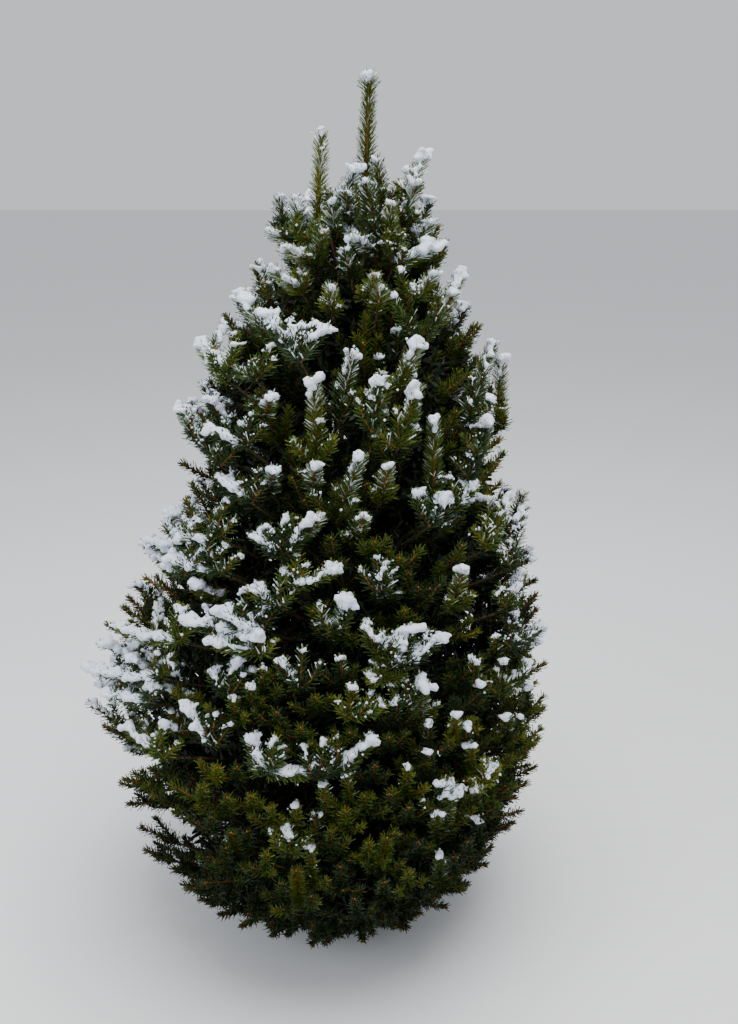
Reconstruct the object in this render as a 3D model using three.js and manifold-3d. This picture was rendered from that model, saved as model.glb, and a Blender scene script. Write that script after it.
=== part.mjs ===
// Young Norway spruce, millimetres, +Z up, standing on the flat cut of its trunk at the origin.
// +X is the right of the tree as the photograph shows it, and its front faces -Y.
import * as THREE from "three";
import { mergeVertices } from "three/addons/utils/BufferGeometryUtils.js";
import Module from "manifold-3d";

const wasm = await Module();
wasm.setup();

// Trunk
const treeHeight = 1700;
const leanAtTip = 60; // to the right
const baseRadius = 21;
const tipRadius = 2.6;
const taperPower = 0.9;
const flareRadius = 12; // added at the ground
const flareHeight = 45;
const flareLobes = 5;
const lobeDepth = 0.16;
const trunkSides = 10;
const trunkSteps = 10;
const trunkGrading = 1.5; // more than 1 sets the rings closer near the ground
const budLength = 11;
const budRadius = 4.2;
const budShoulder = 0.4; // of its length, where it is widest

// Outline of the crown: height and mean radius at the tips of the shoots
const crownProfile = [
  [45, 205], [120, 330], [300, 445], [550, 455], [800, 400],
  [1000, 335], [1200, 288], [1350, 198], [1500, 132], [1650, 62],
];
const sideways = 0.09; // share by which the left reaches further and the right less far
const frontTrim = 0.03; // share by which the front stands back
const bulge = { depth: 85, azimuth: Math.PI, height: 560, spread: 0.42, tall: 95 };
const notch = { depth: -60, azimuth: Math.PI, height: 930, spread: 0.5, tall: 70 };
const reachRounds = 24; // of closing in on where a tier meets the outline
const reachEase = 0.6;

// Tiers: the floor of each is a cone round the trunk, and the next tier's floor is its ceiling
const tiers = [
  { name: "skirt", masses: 5, boughs: true, foot: 25, slope: 0.15, turn: 0, shoots: 7 },
  { name: "low", masses: 5, boughs: true, foot: 190, slope: 0.24, turn: 36, shoots: 8 },
  { name: "belly", masses: 5, boughs: true, foot: 365, slope: 0.38, turn: 2, shoots: 8 },
  { name: "middle", masses: 4, boughs: true, foot: 565, slope: 0.5, turn: 22, shoots: 8 },
  { name: "upper", masses: 4, boughs: true, foot: 775, slope: 0.62, turn: 67, shoots: 7 },
  { name: "shoulder", masses: 4, boughs: false, foot: 985, slope: 0.78, turn: 22, shoots: 6 },
  { name: "high", masses: 4, boughs: false, foot: 1180, slope: 1.0, turn: 67, shoots: 5 },
  { name: "whorl", masses: 3, boughs: false, foot: 1345, slope: 1.4, turn: 85, shoots: 4 },
  { name: "leader", foot: 1500, slope: 2.2 },
];

// Boughs, and the stem that carries each one on through its foliage
const boughShare = 0.42; // of the reach, where the bough ends and its foliage begins
const boughRadius = 9; // of the lowest, at the trunk
const boughThinning = 0.55; // share lost from the lowest tier to the top
const stemTipRadius = 2.4;
const stemShare = 0.94; // of the reach, where the stem ends
const stemSteps = 4;
const boughSag = 0.1; // of the tier's thickness, below its middle
const limbSides = 5;
const boughSteps = 3;
const gap = 0.3; // between solids that meet

// Foliage
const coreDepth = 86; // from the outline in to the dense core
const coreShare = 0.42; // of the reach, the most that coreDepth takes
const coreStart = 20; // from the bough's end to the core
const coreAtTrunk = 5; // inner radius, before the trunk is cut clear
const coreWidth = 0.97; // of the sector
const coreHeight = 0.955; // of the tier
const coreAcross = 4;
const coreUp = 3;
const coreRound = 0.1; // of its reach, by which its edges stand back
const coreLump = 0.05;
const shootSpread = 21; // radius over the needles
const shootStalk = 5.5; // radius between the needles
const smallestShoot = 0.62; // of the full spread, where the reach is nothing
const fullShootReach = 900; // by which the spread gains the whole of itself
const shootSides = 6;
const shootRings = 3;
const needleForward = 0.14; // of the shoot's length
const shootSunk = 22; // of its root in the core
const tipSpan = 0.94; // of the sector and the tier, over which the tips are spread
const rootSpan = 0.78;
const rootJitter = 0.2;
const shootLift = 0.24; // of the tier, from root to tip
const tipShortest = 0.94; // of the reach
const keepClear = 1.5; // from the tier's and the sector's faces
const shortestMass = 0.98; // of the outline, the reach of each mass
const longestMass = 1.04;
const triesPerShoot = 8;
const massSeeds = 500; // where the random numbers of the masses start
const shootSeeds = 1000; // random numbers kept for each mass
const acrossStep = 0.7548776662; // steps that spread points evenly over a square
const levelStep = 0.569840291;

// Needles on the leader
const leaderStart = 1532;
const leaderEnd = 1684;
const leaderSpread = 19;
const leaderRings = 6;
const leaderSides = 10;
const sleeveWall = 1.6;
const lowestNeedles = 0.6; // of the spread
const needleRise = 0.8; // of a ring's step, from root to point

const bark = new THREE.Color(0x5a4030);
const twigBark = new THREE.Color(0x8a5a2e);
const needleGreens = [0x26381a, 0x2f4520, 0x394f22, 0x2a4026].map((hex) => new THREE.Color(hex));

function mix(a, b, share) {
  return a + (b - a) * share;
}

// Random numbers between 0 and 1 that are the same each time for one seed
function randomFrom(seed) {
  let state = Math.imul(seed + 1, 2654435761) >>> 0;
  return () => {
    state = (Math.imul(state, 1664525) + 1013904223) >>> 0;
    return state / 4294967296;
  };
}

function axisX(height) {
  return (leanAtTip * height) / treeHeight;
}

function trunkRadius(height) {
  const rest = Math.max(0, 1 - height / treeHeight);
  const taper = mix(tipRadius, baseRadius, rest ** taperPower);
  return taper + flareRadius * Math.exp(-height / flareHeight);
}

function hump(shape, height, azimuth) {
  const turn = Math.atan2(Math.sin(azimuth - shape.azimuth), Math.cos(azimuth - shape.azimuth));
  const away = (turn / shape.spread) ** 2 + ((height - shape.height) / shape.tall) ** 2;
  return shape.depth * Math.exp(-away);
}

// Radius of the crown's outline at a height and an azimuth
function outline(height, azimuth) {
  let radius = crownProfile[0][1];
  for (let i = 1; i < crownProfile.length; i++) {
    const [low, lowRadius] = crownProfile[i - 1];
    const [high, highRadius] = crownProfile[i];
    const share = THREE.MathUtils.clamp((height - low) / (high - low), 0, 1);
    radius += (highRadius - lowRadius) * share;
  }
  const trim = frontTrim * Math.max(0, -Math.sin(azimuth));
  const side = 1 - sideways * Math.cos(azimuth) - trim;
  return radius * side + hump(bulge, height, azimuth) + hump(notch, height, azimuth);
}

function shellSlope(tier, level) {
  return mix(tiers[tier].slope, tiers[tier + 1].slope, level);
}

// Height inside a tier, level 0 at its floor and 1 at its ceiling
function shellHeight(tier, level, radius) {
  return mix(tiers[tier].foot, tiers[tier + 1].foot, level) + shellSlope(tier, level) * radius;
}

// Radius at which a level of a tier comes out through the outline
function reach(tier, level, azimuth) {
  let radius = crownProfile[0][1];
  for (let i = 0; i < reachRounds; i++) {
    radius = mix(radius, outline(shellHeight(tier, level, radius), azimuth), reachEase);
  }
  return radius;
}

function crownPoint(tier, level, azimuth, radius) {
  const height = shellHeight(tier, level, radius);
  const x = axisX(height) + radius * Math.cos(azimuth);
  return new THREE.Vector3(x, radius * Math.sin(azimuth), height);
}

// True where a point stays clear inside its own space
function inSpace(space, point) {
  const x = point.x - axisX(point.z);
  const radius = Math.hypot(x, point.y);
  const turn = Math.atan2(point.y, x) - space.azimuth;
  const off = Math.abs(Math.atan2(Math.sin(turn), Math.cos(turn)));
  const toSide = radius * Math.sin(space.half - off);
  const toFloor = point.z - shellHeight(space.tier, 0, radius);
  const toCeiling = shellHeight(space.tier, 1, radius) - point.z;
  return off < space.half && Math.min(toSide, toFloor, toCeiling) > keepClear;
}

// The closed solid of a geometry, its shared corners merged and its flat slivers left out
function solidOf(geometry) {
  geometry.deleteAttribute("normal");
  geometry.deleteAttribute("uv");
  const merged = mergeVertices(geometry, 1e-3);
  const corners = [];
  const index = merged.index.array;
  for (let i = 0; i < index.length; i += 3) {
    const [a, b, c] = index.subarray(i, i + 3);
    if (a !== b && b !== c && c !== a) corners.push(a, b, c);
  }
  return new wasm.Manifold(new wasm.Mesh({
    numProp: 3,
    vertProperties: Float32Array.from(merged.attributes.position.array),
    triVerts: Uint32Array.from(corners),
  }));
}

function geometryOf(solid) {
  const mesh = solid.getMesh();
  const geometry = new THREE.BufferGeometry();
  geometry.setAttribute("position", new THREE.BufferAttribute(mesh.vertProperties, 3));
  geometry.setIndex(new THREE.BufferAttribute(mesh.triVerts, 1));
  geometry.computeVertexNormals();
  return geometry;
}

// The largest body of a solid, so that loose scrap is dropped
function mainBody(solid) {
  const bodies = solid.decompose();
  return bodies.reduce((best, body) => (body.volume() > best.volume() ? body : best));
}

function eachVertex(geometry, place) {
  const positions = geometry.attributes.position;
  const point = new THREE.Vector3();
  for (let i = 0; i < positions.count; i++) {
    point.fromBufferAttribute(positions, i);
    place(point);
    positions.setXYZ(i, point.x, point.y, point.z);
  }
  return geometry;
}

// Directions across a line: the first is level unless the line is upright
function acrossOf(along) {
  const upright = Math.abs(along.z) > 0.97;
  const other = upright ? new THREE.Vector3(0, 1, 0) : new THREE.Vector3(0, 0, 1);
  const level = new THREE.Vector3().crossVectors(along, other).normalize();
  return [level, new THREE.Vector3().crossVectors(level, along)];
}

// A tapering limb: a cylinder bent along part of a curve
function limb(curve, start, end, radiusAt, steps) {
  const geometry = new THREE.CylinderGeometry(1, 1, 1, limbSides, steps);
  return solidOf(eachVertex(geometry, (point) => {
    const share = mix(start, end, point.y + 0.5);
    const centre = curve.getPointAt(share);
    const [level, up] = acrossOf(curve.getTangentAt(share));
    const radius = radiusAt(share);
    centre.addScaledVector(level, point.x * radius).addScaledVector(up, point.z * radius);
    point.copy(centre);
  }));
}

// The trunk: a turned taper with a bud on top, lobed at the root flare, then leaned over.
// With a clearance it is the same shape grown by that much, to cut other solids with.
function trunkSolid(clearance = 0) {
  const profile = [new THREE.Vector2(0, -clearance)];
  const woodTop = treeHeight - budLength;
  for (let i = 0; i <= trunkSteps; i++) {
    const height = woodTop * (i / trunkSteps) ** trunkGrading;
    const from = i === 0 ? -clearance : height;
    profile.push(new THREE.Vector2(trunkRadius(height) + clearance, from));
  }
  profile.push(new THREE.Vector2(budRadius + clearance, woodTop + budLength * budShoulder));
  profile.push(new THREE.Vector2(0, treeHeight + clearance));
  const geometry = new THREE.LatheGeometry(profile, trunkSides);
  geometry.rotateX(Math.PI / 2);
  return solidOf(eachVertex(geometry, (point) => {
    const lobes = Math.cos(flareLobes * Math.atan2(point.y, point.x));
    const swell = 1 + lobeDepth * lobes * Math.exp(-Math.max(0, point.z) / flareHeight);
    point.x = point.x * swell + axisX(point.z);
    point.y *= swell;
  }));
}

// The curve that a bough and its stem share, from the trunk's middle out to the leading tip
function boughCurve(space) {
  const points = [0, 0.25, 0.5, 0.75, 1].map((share) => {
    const level = space.level - boughSag * Math.sin(Math.PI * share);
    return crownPoint(space.tier, level, space.azimuth, space.reach * share);
  });
  return new THREE.CatmullRomCurve3(points);
}

function boughRadiusAt(space) {
  const start = boughRadius * (1 - (boughThinning * space.tier) / (tiers.length - 1));
  return (share) => mix(start, stemTipRadius, share);
}

// Place in a mass's space: across, up and out run from -1 to 1 over the dense core
function corePoint(space, across, up, out, sunk) {
  const azimuth = space.azimuth + across * space.half * coreWidth;
  const level = 0.5 + 0.5 * up * coreHeight;
  const outer = reach(space.tier, level, azimuth) * space.length;
  const inner = tiers[space.tier].boughs ? outer * boughShare + coreStart : coreAtTrunk;
  const depth = Math.min(coreDepth, outer * coreShare);
  // Straight slopes from the core's inner corners, as its facets have
  const edge = Math.max(0, 2 * Math.abs(across) - 1, 1.5 * Math.abs(up) - 0.5);
  const lump = Math.sin(2 * across + space.lumps[0]) * Math.cos(1.5 * up + space.lumps[1]);
  const outside = (outer - depth) * (1 + coreLump * lump - coreRound * edge);
  const radius = mix(inner, outside, 0.5 + 0.5 * out) - sunk;
  return crownPoint(space.tier, level, azimuth, radius);
}

// The dense core: a block bent to fill the sector and the tier
function coreSolid(space) {
  const geometry = new THREE.BoxGeometry(2, 2, 2, coreAcross, coreUp, 1);
  return solidOf(eachVertex(geometry, (point) => {
    point.copy(corePoint(space, point.x, point.y, point.z, 0));
  }));
}

// Shoot number n of a mass: from a root sunk in the core, out and up to a tip on the outline
function shootOf(space, number) {
  const random = randomFrom(space.seed * shootSeeds + number);
  const across = ((space.startAcross + number * acrossStep) % 1) * 2 - 1;
  const rank = ((space.startLevel + number * levelStep) % 1) * 2 - 1;
  const tipAzimuth = space.azimuth + across * space.half * tipSpan;
  const tipLevel = 0.5 + 0.5 * rank * tipSpan;
  const tipReach = reach(space.tier, tipLevel, tipAzimuth) * space.length;
  const tipRadius = tipReach * mix(tipShortest, 1, random());
  const tip = crownPoint(space.tier, tipLevel, tipAzimuth, tipRadius);
  const rootAcross = across * rootSpan + rootJitter * (random() - 0.5);
  const rootUp = THREE.MathUtils.clamp(rank * rootSpan - 2 * shootLift, -rootSpan, rootSpan);
  const root = corePoint(space, rootAcross, rootUp, 1, shootSunk);
  const direction = tip.clone().sub(root);
  const length = direction.length();
  return { tip, length, direction: direction.normalize(), twist: random() * Math.PI };
}

// A shoot's closed solid: a slim stalk, pointed at both ends, with needles in staggered rings
function shootGeometry(shoot, scale) {
  const geometry = new THREE.CylinderGeometry(1, 1, 1, shootSides, shootRings);
  const [level, up] = acrossOf(shoot.direction);
  return eachVertex(geometry, (point) => {
    const ring = Math.round((point.y + 0.5) * shootRings);
    const angle = Math.atan2(point.x, point.z);
    const side = Math.round(angle / (Math.PI / 3)) + shootSides;
    const pointed = ring === 0 || ring === shootRings;
    const needle = !pointed && (ring + side) % 2 === 0;
    const spread = needle ? shootSpread * scale : shootStalk;
    const radius = pointed ? 0 : spread;
    const along = (point.y - 0.5 + (needle ? needleForward : 0)) * shoot.length;
    const turned = angle + shoot.twist;
    point.copy(shoot.tip).addScaledVector(shoot.direction, along);
    point.addScaledVector(level, radius * Math.sin(turned));
    point.addScaledVector(up, radius * Math.cos(turned));
  });
}

function staysInSpace(space, geometry) {
  const positions = geometry.attributes.position;
  const point = new THREE.Vector3();
  for (let i = 0; i < positions.count; i++) {
    if (!inSpace(space, point.fromBufferAttribute(positions, i))) return false;
  }
  return true;
}

// A foliage mass: stem, core and the shoots that fit, fused and cut clear of the trunk
function foliageSolid(space, curve, stemStart, trunkCut) {
  const stem = limb(curve, stemStart, stemShare, boughRadiusAt(space), stemSteps);
  const pieces = [coreSolid(space), stem];
  const wanted = tiers[space.tier].shoots;
  for (let number = 0; pieces.length < wanted + 2 && number < triesPerShoot * wanted; number++) {
    const geometry = shootGeometry(shootOf(space, number), space.scale);
    if (staysInSpace(space, geometry)) pieces.push(solidOf(geometry));
  }
  return mainBody(wasm.Manifold.union(pieces).subtract(trunkCut));
}

// The space of one mass: its tier, its sector and how far it reaches
function spaceOf(tier, number) {
  const { masses, turn } = tiers[tier];
  const seed = tier * 10 + number;
  const random = randomFrom(seed + massSeeds);
  const azimuth = THREE.MathUtils.degToRad(turn) + (2 * Math.PI * number) / masses;
  const space = { tier, azimuth, seed, half: Math.PI / masses, level: 0.5 };
  space.length = mix(shortestMass, longestMass, random());
  space.startAcross = random();
  space.startLevel = random();
  space.lumps = [2 * Math.PI * random(), 2 * Math.PI * random()];
  space.reach = reach(tier, space.level, azimuth) * space.length;
  space.scale = Math.min(1, smallestShoot + space.reach / fullShootReach);
  return space;
}

// The leader's needles: a thin sleeve round the trunk's tip with staggered rings of needles
function leaderNeedles() {
  const step = (leaderEnd - leaderStart) / leaderRings;
  const inner = (height) => trunkRadius(height) + gap;
  const profile = [];
  for (let i = 0; i <= leaderRings; i++) {
    const height = leaderStart + i * step;
    profile.push(new THREE.Vector2(inner(height) + sleeveWall, height));
  }
  for (let i = leaderRings; i >= 0; i--) {
    const height = leaderStart + i * step;
    profile.push(new THREE.Vector2(inner(height), height));
  }
  profile.push(profile[0].clone());
  const geometry = new THREE.LatheGeometry(profile, leaderSides);
  geometry.rotateX(Math.PI / 2);
  return solidOf(eachVertex(geometry, (point) => {
    const ring = Math.round((point.z - leaderStart) / step);
    const radius = Math.hypot(point.x, point.y);
    const turn = Math.atan2(point.y, point.x) + Math.PI / 2;
    const side = Math.round(turn / ((2 * Math.PI) / leaderSides)) + leaderSides;
    const outside = radius > inner(point.z) + sleeveWall / 2;
    const needle = outside && ring < leaderRings && (ring + side) % 2 === 0;
    const stretch = needle ? (leaderSpread * mix(lowestNeedles, 1, Math.min(1, ring))) / radius : 1;
    const height = point.z + (needle ? step * needleRise : 0);
    point.set(axisX(height) + point.x * stretch, point.y * stretch, height);
  }));
}

function meshOf(name, solid, color, roughness) {
  const material = new THREE.MeshStandardMaterial({ color, roughness, metalness: 0 });
  const mesh = new THREE.Mesh(geometryOf(solid), material);
  mesh.name = name;
  return mesh;
}

const tree = new THREE.Group();
const trunkCut = trunkSolid(gap);
tree.add(meshOf("trunk", trunkSolid(), bark, 0.9));
tree.add(meshOf("leader_needles", leaderNeedles(), needleGreens[2], 0.7));

for (let tier = 0; tier < tiers.length - 1; tier++) {
  const { name, masses, boughs } = tiers[tier];
  for (let number = 0; number < masses; number++) {
    const space = spaceOf(tier, number);
    const curve = boughCurve(space);
    let stemStart = 0;
    if (boughs) {
      stemStart = boughShare + gap / curve.getLength();
      const bough = limb(curve, 0, boughShare, boughRadiusAt(space), boughSteps);
      const fitted = mainBody(bough.subtract(trunkCut));
      tree.add(meshOf(`bough_${name}_${number + 1}`, fitted, twigBark, 0.85));
    }
    const foliage = foliageSolid(space, curve, stemStart, trunkCut);
    const green = needleGreens[(tier + number) % needleGreens.length];
    tree.add(meshOf(`foliage_${name}_${number + 1}`, foliage, green, 0.75));
  }
}

export default tree;
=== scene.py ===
import functools
import math
from collections import namedtuple

import bmesh
import bpy
import numpy as np
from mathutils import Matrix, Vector, noise


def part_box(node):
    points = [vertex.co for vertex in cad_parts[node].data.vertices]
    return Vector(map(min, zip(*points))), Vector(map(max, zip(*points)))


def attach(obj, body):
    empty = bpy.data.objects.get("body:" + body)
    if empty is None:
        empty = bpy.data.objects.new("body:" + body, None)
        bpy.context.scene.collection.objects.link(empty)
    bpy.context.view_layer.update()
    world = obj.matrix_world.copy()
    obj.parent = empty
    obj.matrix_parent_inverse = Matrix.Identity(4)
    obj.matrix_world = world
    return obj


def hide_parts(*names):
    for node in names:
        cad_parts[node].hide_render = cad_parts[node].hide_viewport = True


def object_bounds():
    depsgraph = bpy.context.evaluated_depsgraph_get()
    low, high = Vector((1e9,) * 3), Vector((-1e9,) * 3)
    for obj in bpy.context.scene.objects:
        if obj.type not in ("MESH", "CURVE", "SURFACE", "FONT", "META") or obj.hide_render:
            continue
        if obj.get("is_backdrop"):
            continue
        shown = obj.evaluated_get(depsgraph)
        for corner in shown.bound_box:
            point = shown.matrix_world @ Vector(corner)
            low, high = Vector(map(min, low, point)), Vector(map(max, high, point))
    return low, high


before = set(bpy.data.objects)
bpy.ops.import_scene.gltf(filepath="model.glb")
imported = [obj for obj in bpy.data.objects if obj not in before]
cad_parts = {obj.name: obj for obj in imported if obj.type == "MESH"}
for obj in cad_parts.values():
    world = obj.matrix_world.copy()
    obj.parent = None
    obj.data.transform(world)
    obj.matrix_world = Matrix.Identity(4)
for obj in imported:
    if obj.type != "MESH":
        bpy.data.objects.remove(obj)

bl_info = {
    "name": "Snowy spruce",
    "version": (1, 0, 0),
    "blender": (4, 5, 0),
    "location": "View3D > Sidebar > Spruce",
    "description": "Dresses the packed spruce with bark, twigs, needles, buds and snow",
    "category": "Object",
}

MM = 0.001
SEED = 20
TAU = 2 * math.pi
UP = np.array([0.0, 0.0, 1.0])

# The solids' box, and the trunk as in the part's source, in millimetres
BOX_LOW, BOX_HIGH = (np.array(corner[:]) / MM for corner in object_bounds())
TREE_HEIGHT = round(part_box("trunk")[1].z / MM, 2)
LEAN_AT_TIP = 60
BASE_RADIUS = 21
TIP_RADIUS = 2.6
TAPER_POWER = 0.9
FLARE_RADIUS = 12
FLARE_HEIGHT = 45
FLARE_LOBES = 5
LOBE_DEPTH = 0.16
WOOD_TOP = 1450

# Outline of the crown: height and mean radius at the tips of the shoots
CROWN_HEIGHTS = (45, 120, 300, 550, 800, 1000, 1200, 1350, 1500, 1650)
CROWN_RADII = (205, 330, 445, 455, 400, 335, 288, 198, 132, 62)
SIDEWAYS = 0.09
FRONT_TRIM = 0.03
BULGE = {"depth": 85, "azimuth": math.pi, "height": 560, "spread": 0.42, "tall": 95}
NOTCH = {"depth": -60, "azimuth": math.pi, "height": 930, "spread": 0.5, "tall": 70}
REACH_ROUNDS = 24
REACH_EASE = 0.6

# Tiers: name, masses, foot, slope, turn in degrees, side branches of each mass
TIERS = (
    ("skirt", 5, 25, 0.15, 0, 21),
    ("low", 5, 190, 0.24, 36, 14),
    ("belly", 5, 365, 0.38, 2, 14),
    ("middle", 4, 565, 0.5, 22, 18),
    ("upper", 4, 775, 0.62, 67, 17),
    ("shoulder", 4, 985, 0.78, 22, 15),
    ("high", 4, 1180, 1.0, 67, 11),
    ("whorl", 3, 1345, 1.4, 85, 4),
    ("leader", 0, 1500, 2.2, 0, 0),
)
FEET = [tier[2] for tier in TIERS]
SLOPES = [tier[3] for tier in TIERS]
TOP_TIER = len(TIERS) - 2

# Boughs: radii, sag, and the shares of the stem that they pass
BOUGH_RADIUS = 9
BOUGH_THINNING = 0.55
STEM_TIP_RADIUS = 2.4
BOUGH_SAG = 0.1
BOUGH_SHARES = (0.0, 0.48, 0.9)

# The source's rule for the roots and tips of the shoots
CORE_DEPTH = 86
CORE_SHARE = 0.42
CORE_WIDTH = 0.97
CORE_HEIGHT = 0.955
CORE_ROUND = 0.1
CORE_LUMP = 0.05
SHOOT_SUNK = 22
TIP_SPAN = 0.94
ROOT_SPAN = 0.78
ROOT_JITTER = 0.2
SHOOT_LIFT = 0.24
TIP_SHORTEST = 0.94
SHORTEST_MASS = 0.98
LONGEST_MASS = 1.04
MASS_SEEDS = 500
SHOOT_SEEDS = 1000
ACROSS_STEP = 0.7548776662
LEVEL_STEP = 0.569840291

# Common shoots: how many, how far inside the outline they end, and where one stands out beside them
FRONT_FULLNESS = 0.78
BACK_FULLNESS = 1.25
WHORL_TOP = 1450
TIP_SPARE = 11
CROWDING = 46
REPLACED = 26
CROWDED_HEIGHTS = (970, 1220)
CROWDED_SPARE = (12, 58)

# Their lengths, sag and rise, and how often a third, a halfway or a pair of older shoots grows
SEASON = (78, 112)
SEASON_BY_HEIGHT = (0.76, 1.25)
STEM_SEASON = 100
BRANCH_SAG = (8, 40)
SHOOT_RISE = (0.6, 1.6)
STANDING = 0.78
FLAT_ROLLS = (0.12, math.pi - 0.12, math.pi / 2)
THIRD_SHOOT = 0.3
HALFWAY_SHOOT = 0.25
BACK_SHOOTS = 0.5
BACK_DENSE = 0.75

# Older twigs inside the crown: how far from the outline, how many on a stem and beside a branch
INNER_SPARE = 66
INNER_SHARE = 0.35
INNER_FLOOR = 85
INNER_TOP = 1340
INNER_TWIGS = (18, 0.1)
INNER_LENGTHS = (80, 150)
BESIDE_BRANCH = (4, 4, 4, 4, 4, 2, 0, 0)
BESIDE_LENGTHS = (75, 130)

# Sorts of twigs: age, radii at foot and tip, share that is bare, needles, and size of the bud
OLD, YOUNG = 0, 1
Sort = namedtuple("Sort", "kind thick thin bare dense bud")
SIDE_BRANCH = Sort(OLD, 4.2, 2.4, 0.35, 0.42, 0.0)
SEASON_SHOOT = Sort(YOUNG, 2.4, 1.5, 0.0, 1.24, 1.15)
SIDE_SHOOT = Sort(YOUNG, 2.1, 1.3, 0.05, 1.24, 1.0)
OLD_TWIG = Sort(OLD, 2.2, 1.3, 0.08, 0.172, 0.0)
RISING_BRANCH = Sort(OLD, 4.0, 2.8, 0.4, 0.4, 0.0)
STRONG_SHOOT = Sort(YOUNG, 3.3, 2.3, 0.0, 3.3, 1.6)
LADEN_SHOOT = Sort(YOUNG, 2.7, 2.3, 0.0, 1.45, 1.15)
LEADER = Sort(YOUNG, 4.4, 3.4, 0.0, 3.4, 0.0)
BOLD_RADIUS = 2.8
NEEDLED_END = 95
LADEN_SIDE_LENGTHS = (38, 62)
LEADER_FOOT = 1440
LEADER_BUD = 2.6

# Needles: angles to the twig, and length and width as shares of the full size
TUFT = 9
GOLDEN_ANGLE = math.radians(137.508)
NEEDLE_ANGLES = (1.12, 0.8)
TUFT_ANGLES = (0.15, 0.62)
BOLD_LEAN = 0.14
NEEDLE_LENGTHS = (0.82, 1.08)
BODY_SIZE = (0.6, 1.6)
INNER_SIZE = (1.55, 4.3)
OLD_SIZE = (1.0, 1.2)
BOLD_SIZE = (1.12, 0.64)

# The photograph's camera: place in millimetres, tilt in degrees, focal length and picture in pixels
CAMERA_PLACE = (59, -1863, 1536)
CAMERA_TILT = 18.9
FOCAL_PIXELS = 1000
PICTURE = (738, 1024)
SENSOR_WIDTH = 36
CROWN_FROM_CAMERA = (1300, 2300)
CAMERA_STEP = 5

# Shoots that stand out in the photograph: columns and rows of foot and tip, and share of snow
STRONG_SHOOTS = (
    (317, 244, 317, 141, 0.35), (338, 206, 355, 172, 1.0), (381, 204, 378, 164, 0.4),
    (402, 200, 430, 162, 1.0), (402, 226, 418, 186, 0.8), (389, 247, 392, 209, 0.4),
    (377, 236, 368, 187, 0.35), (299, 246, 293, 204, 0.4), (286, 236, 276, 203, 0.7),
    (392, 268, 437, 248, 1.0), (334, 242, 331, 206, 0.6), (313, 266, 320, 236, 0.4),
    (352, 278, 344, 254, 0.6), (314, 263, 284, 251, 1.0), (298, 243, 269, 235, 1.0),
    (376, 252, 353, 239, 0.8), (414, 248, 432, 225, 1.0), (332, 314, 329, 291, 0.5),
    (377, 314, 381, 292, 0.5), (368, 302, 375, 280, 0.5), (303, 294, 273, 273, 1.0),
    (414, 302, 435, 277, 0.9), (436, 326, 456, 296, 0.8), (350, 222, 346, 196, 0.7),
    (317, 462, 313, 388, 0.5), (338, 420, 351, 362, 0.6), (367, 413, 380, 384, 0.7),
    (393, 463, 418, 393, 0.7), (336, 518, 360, 462, 0.6), (381, 501, 388, 471, 0.6),
    (433, 518, 436, 426, 0.4), (472, 462, 488, 426, 0.7), (396, 392, 418, 350, 0.6),
    (352, 540, 364, 521, 0.6), (269, 494, 272, 474, 0.8), (445, 532, 447, 502, 0.8),
    (312, 490, 313, 471, 0.9), (298, 540, 317, 521, 0.6), (262, 420, 268, 401, 0.7),
    (330, 640, 346, 607, 0.9), (386, 600, 383, 581, 0.6), (420, 720, 422, 692, 0.9),
    (452, 610, 464, 576, 0.5), (300, 905, 295, 882, 0.0), (240, 860, 230, 838, 0.0),
    (380, 870, 387, 844, 0.0), (440, 830, 452, 802, 0.5), (419, 342, 474, 279, 0.55),
    (466, 422, 497, 349, 0.5), (498, 431, 507, 365, 0.5), (516, 520, 532, 497, 0.7),
    (229, 381, 192, 348, 0.8), (211, 447, 177, 412, 0.7), (277, 345, 242, 304, 0.9),
)
LADEN_SHOOTS = (
    (268, 774, 247, 741, 1.0), (266, 774, 322, 778, 1.0), (318, 778, 346, 768, 1.0),
    (340, 770, 373, 742, 1.0),
    (279, 557, 254, 537, 1.0), (283, 557, 306, 526, 0.9), (293, 587, 335, 572, 1.0),
    (277, 607, 250, 592, 0.9), (336, 632, 349, 602, 0.9), (406, 706, 425, 686, 1.0),
    (394, 671, 412, 630, 1.0), (381, 658, 365, 630, 0.8), (404, 668, 439, 639, 0.9),
    (389, 680, 373, 681, 0.7), (291, 853, 289, 842, 0.7), (352, 719, 382, 708, 0.7),
    (398, 448, 414, 396, 0.6), (372, 432, 378, 386, 0.7), (291, 354, 326, 332, 1.0),
    (301, 362, 262, 316, 0.9), (217, 640, 257, 637, 1.0), (429, 526, 449, 503, 0.9),
    (454, 511, 476, 486, 0.9), (469, 480, 486, 426, 0.5), (380, 591, 384, 571, 0.8),
    (439, 807, 453, 787, 0.5), (480, 787, 497, 769, 0.5), (214, 747, 186, 710, 0.9),
    (229, 697, 211, 675, 0.8), (301, 688, 279, 665, 0.8), (180, 642, 118, 628, 1.0),
    (244, 632, 187, 623, 1.0), (262, 631, 218, 613, 1.0), (259, 653, 214, 643, 1.0),
    (161, 679, 96, 672, 1.0), (150, 703, 105, 693, 1.0), (218, 538, 181, 540, 0.9),
    (185, 547, 133, 511, 1.0), (209, 565, 151, 542, 1.0), (185, 575, 139, 543, 1.0),
    (219, 573, 170, 561, 1.0), (221, 466, 181, 412, 0.5), (256, 380, 198, 344, 0.8),
    (252, 503, 219, 479, 0.8), (245, 446, 208, 431, 0.9),
    (511, 569, 530, 506, 0.6), (511, 648, 543, 627, 0.5), (487, 550, 508, 500, 0.5),
    (476, 456, 491, 401, 0.4), (507, 610, 523, 573, 0.7), (500, 695, 532, 664, 0.6),
    (163, 758, 126, 729, 0.7),
)
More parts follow.
